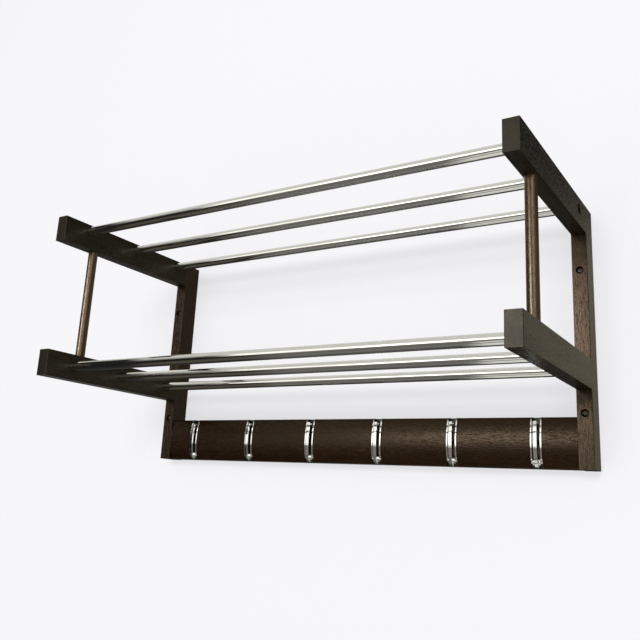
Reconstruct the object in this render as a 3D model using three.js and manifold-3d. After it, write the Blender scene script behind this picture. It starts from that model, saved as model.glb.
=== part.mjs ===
// Wall-hung hat and coat rack: two wooden side frames carry two shelves of steel tubes,
// and a rail between the frames holds six steel hooks that fold out for use.
// Millimetres. +X runs along the rack, +Z is up, and the wall is the plane y = 0,
// so the front of the rack faces -Y. z = 0 is the underside of the uprights.

import * as THREE from 'three';
import { mergeVertices } from 'three/addons/utils/BufferGeometryUtils.js';
import Module from 'manifold-3d';

const wasm = await Module();
wasm.setup();

// ---------------------------------------------------------------- driving dimensions

// whole rack
const RACK_WIDTH = 800;
const RACK_HEIGHT = 385;
const SHELF_DEPTH = 346; // wall to the front ends of the arms

// side frames
const BOARD = 22; // thickness of the uprights and arms
const UPRIGHT_DEPTH = 37;
const ARM_HEIGHT = 43;
const LOWER_ARM_TOP = 154;
const EDGE_EASE = 0.8; // rounding of the sawn edges
const GLUE_LINE = 0.05; // left between an arm and its upright

// shelf tubes
const TUBES_PER_SHELF = 3;
const TUBE_RADIUS = 8;
const TUBE_WALL = 1.5;
const FRONT_TUBE_INSET = 54; // arm's front end to the first tube's centre
const REAR_TUBE_STANDOFF = 65; // wall to the last tube's centre
const UPPER_TUBE_DROP = 12; // top of the arm to the tube's centre
const LOWER_TUBE_DROP = 21;
const TUBE_SEAT_DEPTH = 8;

// front posts
const POST_RADIUS = 8;
const POST_SETBACK = 75; // arm's front end to the post's centre
const POST_SEAT_DEPTH = 12;

// hook rail
const RAIL_HEIGHT = 73;
const RAIL_THICKNESS = 25; // at the crown of the bowed front
const RAIL_BULGE = 5.5; // how far the front bows out between its edges
const RAIL_CORNER = 2;

// hooks and their brackets
const HOOK_COUNT = 6;
const HOOK_PITCH = 128;
const BRACKET_WIDTH = 16.5;
const BRACKET_SHEET = 2.5;
const BRACKET_DEPTH = 14; // crown of the rail to the back of the bracket
const CHEEK_PROUD = 2; // cheeks stand this far out of the rail
const CHEEK_FOOT = 12; // height at which the cheeks start to round off below
const CHEEK_HEAD = 5; // the same, measured down from the top of the rail
const HOOK_WIDTH = 6;
const HOOK_THICKNESS = 6;
const HOOK_PROUD = 5; // blade stands this far out of the cheeks
const HOOK_TIP_DROP = 7; // top of the rail to the centre of the blade's rounded tip
const HOOK_EDGE = 1;
const HOOK_OPEN = 60; // degrees that the hook swings out to its stop
const PIVOT_HEIGHT = 9;
const PIN_RADIUS = 2.5;
const PIVOT_TO_WEB = 6.5;
const HUB_RADIUS = 5;
const STOP_LENGTH = 5; // of each of the two flats on the knuckle

// fasteners
const SEAT_GAP = 0.25; // all round between a piece and the seat cut for it
const DOWEL_RADIUS = 4;
const DOWEL_DEPTH = 15; // in each of the two pieces it joins
const RAIL_DOWEL_SEAT = 12; // in the upright
const WALL_SCREW_HEIGHTS = { lower: 77.5, upper: 286 };
const WALL_SCREW = { shank: 2.4, head: 4.8, headHeight: 3, sink: 5.5 };
const WALL_COUNTERBORE = 5.5;
const BRACKET_SCREW = { shank: 1.5, head: 3.2, headHeight: 1.6, length: 10 };
const BOLT = { shank: 2.5, head: 4.6, headHeight: 4.5, sink: 6 };
const NUT_RADIUS = 7;
const NUT_LENGTH = 8;
const NUT_SINK = 3.5;
const NUT_SETBACK = 37; // joint face to the nut's centre
const NUT_DROP = 19; // top of the arm to the nut's centre
const BOLT_PAST_NUT = 4;

// facets round a full circle
const FINE = 20;
const MEDIUM = 16;
const COARSE = 12;

// ---------------------------------------------------------------- places that follow

const HALF_WIDTH = RACK_WIDTH / 2;
const INNER_FACE = HALF_WIDTH - BOARD; // x of the frames' inner faces
const BOARD_CENTRE = HALF_WIDTH - BOARD / 2;
const LOWER_ARM = { top: LOWER_ARM_TOP, bottom: LOWER_ARM_TOP - ARM_HEIGHT };
const UPPER_ARM = { top: RACK_HEIGHT, bottom: RACK_HEIGHT - ARM_HEIGHT };
const FRONT_TUBE_Y = FRONT_TUBE_INSET - SHELF_DEPTH;
const TUBE_PITCH = (-REAR_TUBE_STANDOFF - FRONT_TUBE_Y) / (TUBES_PER_SHELF - 1);
const POST_Y = POST_SETBACK - SHELF_DEPTH;
const SHELVES = [
  { name: 'upper', z: UPPER_ARM.top - UPPER_TUBE_DROP },
  { name: 'lower', z: LOWER_ARM.top - LOWER_TUBE_DROP },
];

const RAIL_CROWN = -UPRIGHT_DEPTH; // y of the rail's bowed front at mid height
const RAIL_MID = RAIL_HEIGHT / 2;
const RAIL_BACK = RAIL_CROWN + RAIL_THICKNESS;
const RAIL_BOW = (RAIL_MID ** 2 + RAIL_BULGE ** 2) / (2 * RAIL_BULGE); // radius
const BOW_CENTRE = RAIL_CROWN + RAIL_BOW; // y of the bow's centre

const WEB_BACK = RAIL_CROWN + BRACKET_DEPTH;
const WEB_FRONT = WEB_BACK - BRACKET_SHEET;
const CHEEK_BOW = RAIL_BOW + CHEEK_PROUD;
const HOOK_BOW = CHEEK_BOW + HOOK_PROUD;
const HOOK_INNER_BOW = HOOK_BOW - HOOK_THICKNESS;
const PIVOT_Y = WEB_FRONT - PIVOT_TO_WEB;
const BRACKET_SCREW_Z = RAIL_MID;

const BOLT_X = HALF_WIDTH - NUT_SINK - NUT_LENGTH / 2;
const NUT_Y = -UPRIGHT_DEPTH - NUT_SETBACK;
const NUT_Z = UPPER_ARM.top - NUT_DROP;

const radians = THREE.MathUtils.degToRad;

// ---------------------------------------------------------------- finishes

const finish = (color, roughness, metalness) =>
  new THREE.MeshStandardMaterial({ color, roughness, metalness });
const darkWood = () => finish(0x33251d, 0.45, 0);
const beech = () => finish(0xc8a478, 0.7, 0);
const chrome = () => finish(0xd9dbdd, 0.08, 1);
const darkSteel = () => finish(0x2a2826, 0.4, 1);

// ---------------------------------------------------------------- solids

const ALONG_X = new THREE.Matrix4().makeBasis(
  new THREE.Vector3(0, 1, 0), new THREE.Vector3(0, 0, 1), new THREE.Vector3(1, 0, 0));

// A closed geometry as a solid that can be cut; slivers that a pole leaves are dropped.
function solidOf(geometry) {
  geometry.deleteAttribute('normal');
  geometry.deleteAttribute('uv');
  const welded = mergeVertices(geometry, 1e-4);
  const corners = welded.index.array;
  const triVerts = [];
  for (let i = 0; i < corners.length; i += 3) {
    const [a, b, c] = corners.slice(i, i + 3);
    if (a !== b && b !== c && c !== a) triVerts.push(a, b, c);
  }
  return new wasm.Manifold(new wasm.Mesh({
    numProp: 3,
    vertProperties: Float32Array.from(welded.attributes.position.array),
    triVerts: Uint32Array.from(triVerts),
  }));
}

function geometryOf(solid) {
  const mesh = solid.getMesh();
  const geometry = new THREE.BufferGeometry();
  geometry.setAttribute('position', new THREE.BufferAttribute(mesh.vertProperties, 3));
  geometry.setIndex(new THREE.BufferAttribute(mesh.triVerts, 1));
  geometry.computeVertexNormals();
  return geometry;
}

function piece(name, solid, material) {
  const mesh = new THREE.Mesh(geometryOf(solid), material);
  mesh.name = name;
  return mesh;
}

const cut = (solid, tools) => tools.reduce((left, tool) => left.subtract(tool), solid);

// A box between two opposite corners.
function block([x0, y0, z0], [x1, y1, z1]) {
  const box = new THREE.BoxGeometry(x1 - x0, y1 - y0, z1 - z0);
  box.translate((x0 + x1) / 2, (y0 + y1) / 2, (z0 + z1) / 2);
  return solidOf(box);
}

// A solid of revolution about a line that starts at `from` and runs along `axis`.
// The profile lists [radius, distance along the line] and starts and ends on the line.
function turned(from, axis, profile, facets) {
  const points = profile.map(([radius, along]) => new THREE.Vector2(radius, along));
  const lathe = new THREE.LatheGeometry(points, facets);
  const turn = new THREE.Quaternion().setFromUnitVectors(
    new THREE.Vector3(0, 1, 0), new THREE.Vector3(...axis));
  lathe.applyQuaternion(turn);
  lathe.translate(...from);
  return solidOf(lathe);
}

function rod(from, axis, radius, length, facets, chamfer = 0) {
  const profile = [[0, 0], [radius - chamfer, 0]];
  if (chamfer > 0) profile.push([radius, chamfer], [radius, length - chamfer]);
  profile.push([radius - chamfer, length], [0, length]);
  return turned(from, axis, profile, facets);
}

// The outline's points, without the doubles where one curve runs into the next.
function outlineOf(shape, curveSegments) {
  const points = shape.getPoints(curveSegments);
  return new THREE.Shape(points.filter(
    (point, i) => point.distanceTo(points[(i + 1) % points.length]) > 0.01));
}

// A side profile drawn in (y, z), made `width` thick about the plane x = centre.
function sideExtrusion(shape, centre, width, edge, curveSegments) {
  const geometry = new THREE.ExtrudeGeometry(outlineOf(shape, curveSegments), {
    depth: width - 2 * edge,
    bevelEnabled: edge > 0,
    bevelThickness: edge,
    bevelSize: edge,
    bevelOffset: -edge,
    bevelSegments: Math.ceil(edge) + 1,
  });
  geometry.translate(0, 0, edge - width / 2);
  geometry.applyMatrix4(ALONG_X);
  geometry.translate(centre, 0, 0);
  return solidOf(geometry);
}

// Where a bow about the rail's centre line reaches height z, as an angle and a depth.
const bowAngle = (radius, z) => Math.PI - Math.asin((z - RAIL_MID) / radius);
const bowY = (radius, z) => BOW_CENTRE - Math.sqrt(radius ** 2 - (z - RAIL_MID) ** 2);

// ---------------------------------------------------------------- side frames

// The frame is shaped as one outline, so the edges run on round the inner corners.
function frameOutline() {
  const shape = new THREE.Shape();
  shape.moveTo(0, 0);
  shape.lineTo(-UPRIGHT_DEPTH, 0);
  for (const arm of [LOWER_ARM, UPPER_ARM]) {
    shape.lineTo(-UPRIGHT_DEPTH, arm.bottom);
    shape.lineTo(-SHELF_DEPTH, arm.bottom);
    shape.lineTo(-SHELF_DEPTH, arm.top);
    if (arm === LOWER_ARM) shape.lineTo(-UPRIGHT_DEPTH, arm.top);
  }
  shape.lineTo(0, RACK_HEIGHT);
  shape.closePath();
  return shape;
}

const dowelHeights = {
  lower: [LOWER_ARM.bottom + ARM_HEIGHT / 4, LOWER_ARM.top - ARM_HEIGHT / 4],
  upper: [UPPER_ARM.bottom + ARM_HEIGHT / 5],
};
const railDowelHeights = [RAIL_HEIGHT / 4, RAIL_HEIGHT * 3 / 4];
const railDowelY = (RAIL_CROWN + RAIL_BACK) / 2;

// Seats for the tubes of one shelf, cut into a frame's inner face.
function tubeSeats(side, z) {
  const seats = [];
  for (let i = 0; i < TUBES_PER_SHELF; i++) {
    const from = [side * (INNER_FACE - 1), FRONT_TUBE_Y + i * TUBE_PITCH, z];
    seats.push(rod(from, [side, 0, 0], TUBE_RADIUS + SEAT_GAP, TUBE_SEAT_DEPTH + 1, FINE));
  }
  return seats;
}

function postSeat(side, arm) {
  const up = arm === UPPER_ARM ? 1 : -1;
  const mouth = arm === UPPER_ARM ? arm.bottom : arm.top;
  const from = [side * BOARD_CENTRE, POST_Y, mouth - up];
  return rod(from, [0, 0, up], POST_RADIUS + SEAT_GAP, POST_SEAT_DEPTH + 1, FINE);
}

function armDowelSeat(side, z) {
  const from = [side * BOARD_CENTRE, -UPRIGHT_DEPTH - DOWEL_DEPTH - SEAT_GAP, z];
  const length = 2 * (DOWEL_DEPTH + SEAT_GAP);
  return rod(from, [0, 1, 0], DOWEL_RADIUS + SEAT_GAP, length, COARSE);
}

function armDowel(side, z) {
  const from = [side * BOARD_CENTRE, -UPRIGHT_DEPTH - DOWEL_DEPTH, z];
  return rod(from, [0, 1, 0], DOWEL_RADIUS, 2 * DOWEL_DEPTH, COARSE);
}

function railDowelSeat(side, z) {
  const from = [side * (INNER_FACE + RAIL_DOWEL_SEAT + SEAT_GAP), railDowelY, z];
  const length = RAIL_DOWEL_SEAT + DOWEL_DEPTH + 2 * SEAT_GAP;
  return rod(from, [-side, 0, 0], DOWEL_RADIUS + SEAT_GAP, length, COARSE);
}

function railDowel(side, z) {
  const from = [side * (INNER_FACE + RAIL_DOWEL_SEAT), railDowelY, z];
  const length = RAIL_DOWEL_SEAT + DOWEL_DEPTH;
  return rod(from, [-side, 0, 0], DOWEL_RADIUS, length, COARSE);
}

// Clearance hole and counterbore for a wall screw, from the front of the upright.
function wallScrewHole(side, z) {
  const front = -UPRIGHT_DEPTH;
  const shank = WALL_SCREW.shank + SEAT_GAP;
  return turned([side * BOARD_CENTRE, front - 1, z], [0, 1, 0], [
    [0, 0], [WALL_COUNTERBORE, 0], [WALL_COUNTERBORE, WALL_SCREW.sink + 1],
    [shank, WALL_SCREW.sink + 1], [shank, UPRIGHT_DEPTH + 2], [0, UPRIGHT_DEPTH + 2],
  ], MEDIUM);
}

// Bolt hole from the back of the upright into the upper arm, as far as past the nut.
function boltHole(side) {
  const shank = BOLT.shank + SEAT_GAP;
  const head = BOLT.head + SEAT_GAP;
  const end = -NUT_Y + NUT_RADIUS + BOLT_PAST_NUT + 1 + SEAT_GAP;
  return turned([side * BOLT_X, 1, NUT_Z], [0, -1, 0], [
    [0, 0], [head, 0], [head, BOLT.sink + 1], [shank, BOLT.sink + 1], [shank, end], [0, end],
  ], COARSE);
}

function nutHole(side) {
  const depth = NUT_SINK + NUT_LENGTH + SEAT_GAP;
  const from = [side * (HALF_WIDTH + 1), NUT_Y, NUT_Z];
  return rod(from, [-side, 0, 0], NUT_RADIUS + SEAT_GAP, depth + 1, MEDIUM);
}

function sideFrame(side, name) {
  const group = new THREE.Group();
  const centre = side * BOARD_CENTRE;
  const outline = sideExtrusion(frameOutline(), centre, BOARD, EDGE_EASE, 1);
  const outer = HALF_WIDTH + 1;
  const armBlank = (arm) => outline.intersect(block(
    [-outer, -SHELF_DEPTH - 1, arm.bottom - 1],
    [outer, -UPRIGHT_DEPTH - GLUE_LINE, arm.top + 1]));

  const uprightBlank = outline.intersect(block(
    [-outer, -UPRIGHT_DEPTH, -1], [outer, 1, RACK_HEIGHT + 1]));
  group.add(piece(`${name}_upright`, cut(uprightBlank, [
    ...Object.values(dowelHeights).flat().map((z) => armDowelSeat(side, z)),
    ...railDowelHeights.map((z) => railDowelSeat(side, z)),
    ...Object.values(WALL_SCREW_HEIGHTS).map((z) => wallScrewHole(side, z)),
    boltHole(side),
  ]), darkWood()));

  group.add(piece(`${name}_upper_arm`, cut(armBlank(UPPER_ARM), [
    ...tubeSeats(side, SHELVES[0].z),
    ...dowelHeights.upper.map((z) => armDowelSeat(side, z)),
    postSeat(side, UPPER_ARM), boltHole(side), nutHole(side),
  ]), darkWood()));

  group.add(piece(`${name}_lower_arm`, cut(armBlank(LOWER_ARM), [
    ...tubeSeats(side, SHELVES[1].z),
    ...dowelHeights.lower.map((z) => armDowelSeat(side, z)),
    postSeat(side, LOWER_ARM),
  ]), darkWood()));

  const postFoot = LOWER_ARM.top - POST_SEAT_DEPTH + SEAT_GAP;
  const postLength = UPPER_ARM.bottom + POST_SEAT_DEPTH - SEAT_GAP - postFoot;
  group.add(piece(`${name}_post`,
    rod([centre, POST_Y, postFoot], [0, 0, 1], POST_RADIUS, postLength, FINE, 1), darkWood()));

  for (const [level, heights] of Object.entries(dowelHeights)) {
    heights.forEach((z, i) => group.add(
      piece(`${name}_${level}_arm_dowel_${i + 1}`, armDowel(side, z), beech())));
  }
  railDowelHeights.forEach((z, i) => group.add(
    piece(`${name}_rail_dowel_${i + 1}`, railDowel(side, z), beech())));
  return group;
}

// ---------------------------------------------------------------- frame fasteners

// A slotted round-head screw in the counterbore; its shank ends at the wall.
function wallScrew(side, z) {
  const { shank, head, headHeight, sink } = WALL_SCREW;
  const seat = -UPRIGHT_DEPTH + sink - SEAT_GAP;
  const end = -seat - SEAT_GAP + headHeight;
  const screw = turned([side * BOARD_CENTRE, seat - headHeight, z], [0, 1, 0], [
    [0, 0], [head * 0.55, 0.25], [head * 0.9, 1.1], [head, 2], [head, headHeight],
    [shank, headHeight], [shank, end], [0, end],
  ], MEDIUM);
  const slot = block(
    [side * BOARD_CENTRE - head - 1, seat - headHeight - 1, z - 0.6],
    [side * BOARD_CENTRE + head + 1, seat - headHeight + 1.4, z + 0.6]);
  return screw.subtract(slot);
}

// A hexagon-socket bolt drawn into a cross nut that lies in the arm.
function frameBolt(side) {
  const { shank, head, headHeight, sink } = BOLT;
  const top = -sink + SEAT_GAP + headHeight;
  const end = top - NUT_Y + NUT_RADIUS + BOLT_PAST_NUT;
  const body = turned([side * BOLT_X, top, NUT_Z], [0, -1, 0], [
    [0, 0], [head - 0.5, 0], [head, 0.5], [head, headHeight], [shank, headHeight],
    [shank, end - 1], [shank - 1, end], [0, end],
  ], COARSE);
  const socket = rod([side * BOLT_X, top + 1, NUT_Z], [0, -1, 0], head / 2, 1 + headHeight / 2, 6);
  return body.subtract(socket);
}

function crossNut(side) {
  const from = [side * (HALF_WIDTH - NUT_SINK), NUT_Y, NUT_Z];
  const body = rod(from, [-side, 0, 0], NUT_RADIUS, NUT_LENGTH, MEDIUM, 0.5);
  const thread = rod([side * BOLT_X, NUT_Y - NUT_RADIUS - 1, NUT_Z], [0, 1, 0],
    BOLT.shank + SEAT_GAP, 2 * NUT_RADIUS + 2, COARSE);
  const slot = block(
    [side * (HALF_WIDTH - NUT_SINK) - 1.2, NUT_Y - 0.8, NUT_Z - NUT_RADIUS - 1],
    [side * (HALF_WIDTH - NUT_SINK) + 1.2, NUT_Y + 0.8, NUT_Z + NUT_RADIUS + 1]);
  return cut(body, [thread, slot]);
}

// ---------------------------------------------------------------- shelf tubes

function shelfTube(y, z) {
  const reach = INNER_FACE + TUBE_SEAT_DEPTH - SEAT_GAP;
  const bore = TUBE_RADIUS - TUBE_WALL;
  return turned([-reach, y, z], [1, 0, 0], [
    [bore, 0], [TUBE_RADIUS, 0], [TUBE_RADIUS, 2 * reach], [bore, 2 * reach], [bore, 0],
  ], FINE);
}

// ---------------------------------------------------------------- hook rail

function railOutline() {
  const shape = new THREE.Shape();
  const edgeY = bowY(RAIL_BOW, RAIL_CORNER);
  shape.moveTo(RAIL_BACK, 0);
  shape.lineTo(edgeY + RAIL_CORNER, 0);
  shape.quadraticCurveTo(edgeY, 0, edgeY, RAIL_CORNER);
  shape.absarc(BOW_CENTRE, RAIL_MID, RAIL_BOW,
    bowAngle(RAIL_BOW, RAIL_CORNER), bowAngle(RAIL_BOW, RAIL_HEIGHT - RAIL_CORNER), true);
  shape.quadraticCurveTo(edgeY, RAIL_HEIGHT, edgeY + RAIL_CORNER, RAIL_HEIGHT);
  shape.lineTo(RAIL_BACK, RAIL_HEIGHT);
  shape.closePath();
  return shape;
}

const hookCentres = Array.from({ length: HOOK_COUNT },
  (_, i) => (i - (HOOK_COUNT - 1) / 2) * HOOK_PITCH);

function hookRail() {
  const blank = sideExtrusion(railOutline(), 0, 2 * (INNER_FACE - GLUE_LINE), 0, 4);
  const half = BRACKET_WIDTH / 2 + SEAT_GAP;
  const grooves = hookCentres.map((x) => block(
    [x - half, RAIL_CROWN - 1, -1], [x + half, WEB_BACK + SEAT_GAP, RAIL_HEIGHT + 1]));
  const pilots = hookCentres.map((x) => rod([x, WEB_BACK, BRACKET_SCREW_Z], [0, 1, 0],
    BRACKET_SCREW.shank + SEAT_GAP, BRACKET_SCREW.length - BRACKET_SHEET + SEAT_GAP, COARSE));
  const dowelSeats = [-1, 1].flatMap((side) => railDowelHeights.map((z) => railDowelSeat(side, z)));
  return cut(blank, [...grooves, ...pilots, ...dowelSeats]);
}

// ---------------------------------------------------------------- folding hooks

// Side outline of the bracket: a flat back, and cheeks that follow the bowed rail.
function bracketOutline() {
  const headZ = RAIL_HEIGHT - CHEEK_HEAD;
  const shape = new THREE.Shape();
  shape.moveTo(WEB_BACK, 0);
  shape.lineTo(WEB_FRONT - BRACKET_SHEET, 0);
  shape.quadraticCurveTo(bowY(CHEEK_BOW, CHEEK_FOOT), 0, bowY(CHEEK_BOW, CHEEK_FOOT), CHEEK_FOOT);
  shape.absarc(BOW_CENTRE, RAIL_MID, CHEEK_BOW,
    bowAngle(CHEEK_BOW, CHEEK_FOOT), bowAngle(CHEEK_BOW, headZ), true);
  shape.quadraticCurveTo(bowY(CHEEK_BOW, headZ) + 1, RAIL_HEIGHT - 1,
    WEB_FRONT - 2 * BRACKET_SHEET, RAIL_HEIGHT);
  shape.lineTo(WEB_BACK, RAIL_HEIGHT);
  shape.closePath();
  return shape;
}

// Countersunk head with its flat face at y = face, drawn a little larger to cut its seat.
function countersunk(x, face, z, grow, length) {
  const { shank, head, headHeight } = BRACKET_SCREW;
  return turned([x, face - grow, z], [0, 1, 0], [
    [0, 0], [head + grow, 0], [head + grow, grow + 0.3], [shank + grow, grow + headHeight],
    [shank + grow, length + 2 * grow], [0, length + 2 * grow],
  ], COARSE);
}

function hookBracket(x) {
  const blank = sideExtrusion(bracketOutline(), x, BRACKET_WIDTH, 0, 4);
  const half = BRACKET_WIDTH / 2 - BRACKET_SHEET;
  const channel = block([x - half, -UPRIGHT_DEPTH - HOOK_THICKNESS, -1],
    [x + half, WEB_FRONT, RAIL_HEIGHT + 1]);
  const pinHole = rod([x - BRACKET_WIDTH, PIVOT_Y, PIVOT_HEIGHT], [1, 0, 0],
    PIN_RADIUS + SEAT_GAP, 2 * BRACKET_WIDTH, COARSE);
  const screwSeat = countersunk(x, WEB_FRONT, BRACKET_SCREW_Z, SEAT_GAP, BRACKET_SCREW.length);
  return cut(blank, [channel, pinHole, screwSeat]);
}

function bracketScrew(x) {
  const screw = countersunk(x, WEB_FRONT, BRACKET_SCREW_Z, 0, BRACKET_SCREW.length);
  const reach = BRACKET_SCREW.head + 1;
  const slot = block([x - reach, WEB_FRONT - 1, BRACKET_SCREW_Z - 0.4],
    [x + reach, WEB_FRONT + 0.8, BRACKET_SCREW_Z + 0.4]);
  return screw.subtract(slot);
}

// Side outline of the hook: a bowed blade that turns back into the knuckle round its pin.
// Two flats on the knuckle meet the bracket's web, one when the hook is folded and the
// other, below it, when the hook is fully out.
function hookOutline() {
  const knuckle = PIVOT_TO_WEB - SEAT_GAP;
  const open = -radians(HOOK_OPEN);
  const heel = [
    PIVOT_Y + knuckle * Math.cos(open) + STOP_LENGTH * Math.sin(open),
    PIVOT_HEIGHT + knuckle * Math.sin(open) - STOP_LENGTH * Math.cos(open)];
  const shoulder = [PIVOT_Y + knuckle, PIVOT_HEIGHT + STOP_LENGTH];
  const bladeFoot = 2 * PIVOT_HEIGHT;
  const innerFoot = bladeFoot + HOOK_THICKNESS;
  const middleBow = (HOOK_BOW + HOOK_INNER_BOW) / 2;
  const tipTurn = bowAngle(middleBow, RAIL_HEIGHT - HOOK_TIP_DROP);

  const shape = new THREE.Shape();
  shape.moveTo(...heel);
  shape.absarc(PIVOT_Y, PIVOT_HEIGHT, knuckle, open, 0, false);
  shape.lineTo(...shoulder);
  shape.quadraticCurveTo(bowY(HOOK_INNER_BOW, innerFoot), shoulder[1] + 1,
    bowY(HOOK_INNER_BOW, innerFoot), innerFoot);
  shape.absarc(BOW_CENTRE, RAIL_MID, HOOK_INNER_BOW,
    bowAngle(HOOK_INNER_BOW, innerFoot), tipTurn, true);
  shape.absarc(BOW_CENTRE + middleBow * Math.cos(tipTurn), RAIL_MID + middleBow * Math.sin(tipTurn),
    HOOK_THICKNESS / 2, tipTurn - Math.PI, tipTurn, false);
  shape.absarc(BOW_CENTRE, RAIL_MID, HOOK_BOW, tipTurn, bowAngle(HOOK_BOW, bladeFoot), false);
  shape.quadraticCurveTo(bowY(HOOK_BOW, bladeFoot) + 1, heel[1] + 3, ...heel);
  return shape;
}

// Everything below the tip, and a half circle across the blade's width at the tip.
function tipRounding(x) {
  const radius = HOOK_WIDTH / 2;
  const front = bowY(HOOK_BOW, RAIL_MID) - 1;
  const centre = RAIL_HEIGHT - HOOK_TIP_DROP + HOOK_THICKNESS / 2 - radius;
  const below = block([x - HOOK_WIDTH, front, -1], [x + HOOK_WIDTH, 0, centre]);
  return below.add(rod([x, front, centre], [0, 1, 0], radius, -front, MEDIUM));
}

function foldingHook(x) {
  const blade = sideExtrusion(hookOutline(), x, HOOK_WIDTH, HOOK_EDGE, 3)
    .intersect(tipRounding(x));
  const hubHalf = BRACKET_WIDTH / 2 - BRACKET_SHEET - SEAT_GAP;
  const hub = rod([x - hubHalf, PIVOT_Y, PIVOT_HEIGHT], [1, 0, 0],
    HUB_RADIUS, 2 * hubHalf, MEDIUM);
  const bore = rod([x - BRACKET_WIDTH, PIVOT_Y, PIVOT_HEIGHT], [1, 0, 0],
    PIN_RADIUS + SEAT_GAP, 2 * BRACKET_WIDTH, COARSE);
  return blade.add(hub).subtract(bore);
}

function hookPin(x) {
  return rod([x - BRACKET_WIDTH / 2, PIVOT_Y, PIVOT_HEIGHT], [1, 0, 0],
    PIN_RADIUS, BRACKET_WIDTH, COARSE, 0.4);
}

// ---------------------------------------------------------------- the rack

const rack = new THREE.Group();

for (const [side, name] of [[-1, 'left'], [1, 'right']]) {
  rack.add(sideFrame(side, name));
  for (const [level, z] of Object.entries(WALL_SCREW_HEIGHTS)) {
    rack.add(piece(`${name}_${level}_wall_screw`, wallScrew(side, z), darkSteel()));
  }
  rack.add(piece(`${name}_frame_bolt`, frameBolt(side), darkSteel()));
  rack.add(piece(`${name}_cross_nut`, crossNut(side), darkSteel()));
}

for (const { name, z } of SHELVES) {
  for (let i = 0; i < TUBES_PER_SHELF; i++) {
    const tube = shelfTube(FRONT_TUBE_Y + i * TUBE_PITCH, z);
    rack.add(piece(`${name}_shelf_tube_${i + 1}`, tube, chrome()));
  }
}

rack.add(piece('hook_rail', hookRail(), darkWood()));

hookCentres.forEach((x, i) => {
  rack.add(piece(`hook_bracket_${i + 1}`, hookBracket(x), chrome()));
  rack.add(piece(`bracket_screw_${i + 1}`, bracketScrew(x), chrome()));
  rack.add(piece(`hook_pin_${i + 1}`, hookPin(x), chrome()));
  rack.add(piece(`hook_${i + 1}`, foldingHook(x), chrome()));
});

export default rack;
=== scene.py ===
"""Wall-hung hat and coat rack: finished pieces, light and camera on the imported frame.

Two dark wooden side frames carry two shelves of chrome tubes, and a bowed rail between
them holds six chrome hooks that fold out for use. Metres; +X runs along the rack, the
wall is the plane y = 0, the front faces -Y and z = 0 is the underside of the uprights.
"""

import math

import bmesh
import bpy
from mathutils import Matrix, Vector


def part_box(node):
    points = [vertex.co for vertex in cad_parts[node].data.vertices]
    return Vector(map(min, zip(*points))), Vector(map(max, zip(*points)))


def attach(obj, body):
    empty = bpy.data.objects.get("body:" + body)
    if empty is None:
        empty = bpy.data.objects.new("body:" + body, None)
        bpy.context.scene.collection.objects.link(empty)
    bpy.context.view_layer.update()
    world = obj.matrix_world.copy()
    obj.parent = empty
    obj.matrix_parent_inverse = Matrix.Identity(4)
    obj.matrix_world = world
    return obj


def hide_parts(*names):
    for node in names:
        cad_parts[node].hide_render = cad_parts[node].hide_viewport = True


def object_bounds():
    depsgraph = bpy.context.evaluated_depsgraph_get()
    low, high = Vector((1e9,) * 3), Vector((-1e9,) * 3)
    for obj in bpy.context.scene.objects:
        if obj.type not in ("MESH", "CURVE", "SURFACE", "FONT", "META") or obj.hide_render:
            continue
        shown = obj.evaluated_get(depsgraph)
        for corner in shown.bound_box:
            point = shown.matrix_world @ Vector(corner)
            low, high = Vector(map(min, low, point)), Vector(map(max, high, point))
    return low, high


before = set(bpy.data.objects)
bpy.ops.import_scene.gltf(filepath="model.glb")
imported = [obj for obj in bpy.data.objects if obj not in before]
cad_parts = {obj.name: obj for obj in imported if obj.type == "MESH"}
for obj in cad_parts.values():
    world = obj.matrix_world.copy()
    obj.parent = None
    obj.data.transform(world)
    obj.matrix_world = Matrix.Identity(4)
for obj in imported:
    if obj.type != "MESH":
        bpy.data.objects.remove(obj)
cad_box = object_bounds()

# ---------------------------------------------------------------- sizes

MM = 0.001
GAP = 0.25 * MM  # between a piece and its seat

WELD = 1e-6  # corners of a finished piece closer than this become one
CUT = 1e-7  # the same while a shape is sliced or turned
SMOOTH_BELOW = math.radians(35)  # faces that meet at a smaller angle shade as one

# side frames
EASED_EDGE = 0.8 * MM
TUBE_SEAT_DEPTH = 8 * MM
POST_SEAT_DEPTH = 12 * MM
POST_EDGE = 1 * MM
RIM = 0.3 * MM  # chamfer round a drilled hole

# fasteners; holes and shanks by radius, slots by width and depth
COUNTERBORE = 5.5 * MM  # radius and depth
SCREW_HOLE = 2.65 * MM
SCREW_DOME = (  # share of the head's radius, distance below its top
    (0.0, 0.0),
    (0.3, 0.06 * MM),
    (0.55, 0.25 * MM),
    (0.76, 0.62 * MM),
    (0.9, 1.1 * MM),
    (0.98, 1.6 * MM),
    (1.0, 2.1 * MM),
    (1.0, 3 * MM),
)
SCREW_SLOT = (1.2 * MM, 1.4 * MM)
BOLT_HEAD_HOLE = 4.85 * MM
BOLT_SINK = 6 * MM  # of the head's hole in the upright's back
BOLT_SHANK = 2.5 * MM
BOLT_HEAD_HEIGHT = 4.5 * MM
BOLT_SOCKET_DEPTH = 3 * MM
BOLT_TIP = 1 * MM
FASTENER_EDGE = 0.5 * MM
NUT_SINK = 3.6 * MM  # by which the nut's hole is deeper than the nut is long
NUT_RIM = 3 * RIM
NUT_SLOT = (1.6 * MM, 1.2 * MM)
BRACKET_SCREW_SHANK = 1.5 * MM
BRACKET_SCREW_RIM = 0.3 * MM
BRACKET_SCREW_CONE = 1.6 * MM  # depth at which the countersunk head ends
BRACKET_SCREW_SLOT = (0.8 * MM, 0.8 * MM)

# tubes
TUBE_WALL = 1.5 * MM
TUBE_EDGE = 0.4 * MM

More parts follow.
